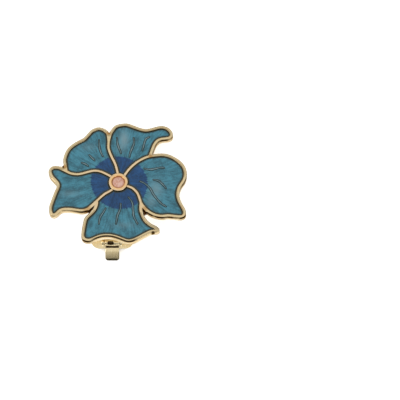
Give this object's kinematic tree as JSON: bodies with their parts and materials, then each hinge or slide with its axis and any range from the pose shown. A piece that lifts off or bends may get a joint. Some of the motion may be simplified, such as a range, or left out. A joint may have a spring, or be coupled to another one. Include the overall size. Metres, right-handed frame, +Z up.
{
  "type": "clip-on earring",
  "caption": "Flower-shaped clip-on earring: enamelled petals between gold rims, raised veins and a bezel-set dome, with a hinged ear paddle and thumb tab behind.",
  "frame": {"origin": "middle of the bounding box at the surface on which the earring lies", "axes": "+Z up from that surface; +Y towards the flower's top; +X to the right as seen from the front. The flower's face leans back from the surface, propped by the thumb tab"},
  "size_m": [0.0348, 0.0348, 0.0113],
  "materials": {
    "gold_plate": "polished gold plating",
    "clip_metal": "pale gold plating, lightly brushed",
    "teal_enamel": "glossy translucent enamel",
    "navy_enamel": "glossy translucent enamel",
    "coral_enamel": "glossy opaque enamel"
  },
  "bodies": {
    "flower": {"flower_setting": "gold_plate", "hinge_pin": "clip_metal", "teal_enamel_upper_left": "teal_enamel", "teal_enamel_upper_right": "teal_enamel", "teal_enamel_right": "teal_enamel", "teal_enamel_lower": "teal_enamel", "teal_enamel_left": "teal_enamel", "navy_enamel_upper_left": "navy_enamel", "navy_enamel_upper_right": "navy_enamel", "navy_enamel_right": "navy_enamel", "navy_enamel_lower": "navy_enamel", "navy_enamel_left": "navy_enamel", "centre_enamel": "coral_enamel"},
    "paddle": {"clip_paddle": "clip_metal"}
  },
  "joints": [
    {"name": "paddle_hinge", "type": "hinge", "parent": "flower", "child": "paddle", "pos_m": [-0.00146, -0.01287, 0.00288], "axis": [-1, 0, 0], "range_deg": [0, 100]}
  ]
}
